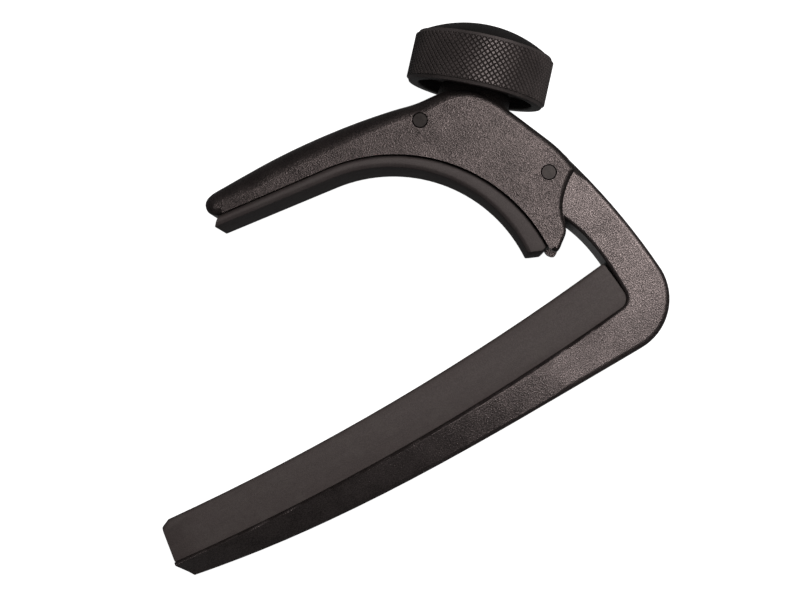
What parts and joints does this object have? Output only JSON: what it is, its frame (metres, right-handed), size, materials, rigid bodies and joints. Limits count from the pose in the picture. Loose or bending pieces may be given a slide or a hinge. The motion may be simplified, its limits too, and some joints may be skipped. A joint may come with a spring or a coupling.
{
  "type": "guitar capo",
  "caption": "Screw-clamp guitar capo: L-shaped frame with a rubber string pad, a curved padded jaw on a pivot, and a knurled domed tension knob that closes the jaw through a lever.",
  "frame": {"origin": "middle of the string pad's contact face, on the mid-plane", "axes": "+X along the bar towards the frame's corner, +Y from the string pad towards the jaw, +Z across the thickness"},
  "size_m": [0.0731, 0.049, 0.018],
  "materials": {
    "frame_coat": "fine matte powder coat",
    "jaw_coat": "fine matte powder coat",
    "knob_coat": "matte coat over a knurl",
    "cap_coat": "matte",
    "string_rubber": "matte",
    "jaw_rubber": "matte",
    "stiff_plastic": "matte",
    "washer_plastic": "smooth",
    "pin_steel": "dark, smooth",
    "lever_steel": "dark",
    "screw_steel": "bright",
    "spring_steel": "drawn wire",
    "nut_brass": "turned"
  },
  "bodies": {
    "frame": {"frame": "frame_coat", "string_pad": "string_rubber", "string_pad_carrier": "stiff_plastic", "pivot_bush": "nut_brass", "pivot_washer_front": "washer_plastic", "pivot_washer_back": "washer_plastic"},
    "jaw": {"jaw_shell": "jaw_coat", "jaw_pad": "jaw_rubber", "jaw_pad_carrier": "stiff_plastic", "pivot_pin": "pin_steel", "lever_pin": "pin_steel", "thrust_washer": "washer_plastic", "opening_spring": "spring_steel"},
    "lever": {"tension_lever": "lever_steel", "spring_seat": "screw_steel"},
    "nut": {"barrel_nut": "nut_brass"},
    "knob": {"knob": "knob_coat", "knob_cap": "cap_coat", "adjusting_screw": "screw_steel", "screw_stop": "screw_steel"}
  },
  "joints": [
    {"name": "jaw_swing", "type": "hinge", "parent": "frame", "child": "jaw", "pos_m": [0.03126, 0.01465, 0], "axis": [0, 0, 1], "range_deg": [0, 16]},
    {"name": "knob_spin", "type": "hinge", "parent": "jaw", "child": "knob", "pos_m": [0.02874, 0.02849, 0], "axis": [-0.682, -0.7314, 0], "range_deg": [0, 920]},
    {"name": "lever_swing", "type": "hinge", "parent": "jaw", "child": "lever", "pos_m": [0.02082, 0.02839, 0], "axis": [0, 0, 1], "range_deg": [0, 11.4], "deforming": ["opening_spring"]},
    {"name": "nut_swivel", "type": "hinge", "parent": "lever", "child": "nut", "pos_m": [0.02438, 0.02381, 0], "axis": [0, 0, 1], "range_deg": [-11.4, 0]}
  ],
  "couplings": [
    {"joint": "jaw_swing", "follows": "knob_spin", "ratio": 0.017391},
    {"joint": "lever_swing", "follows": "knob_spin", "ratio": 0.012391},
    {"joint": "nut_swivel", "follows": "knob_spin", "ratio": -0.012391}
  ]
}
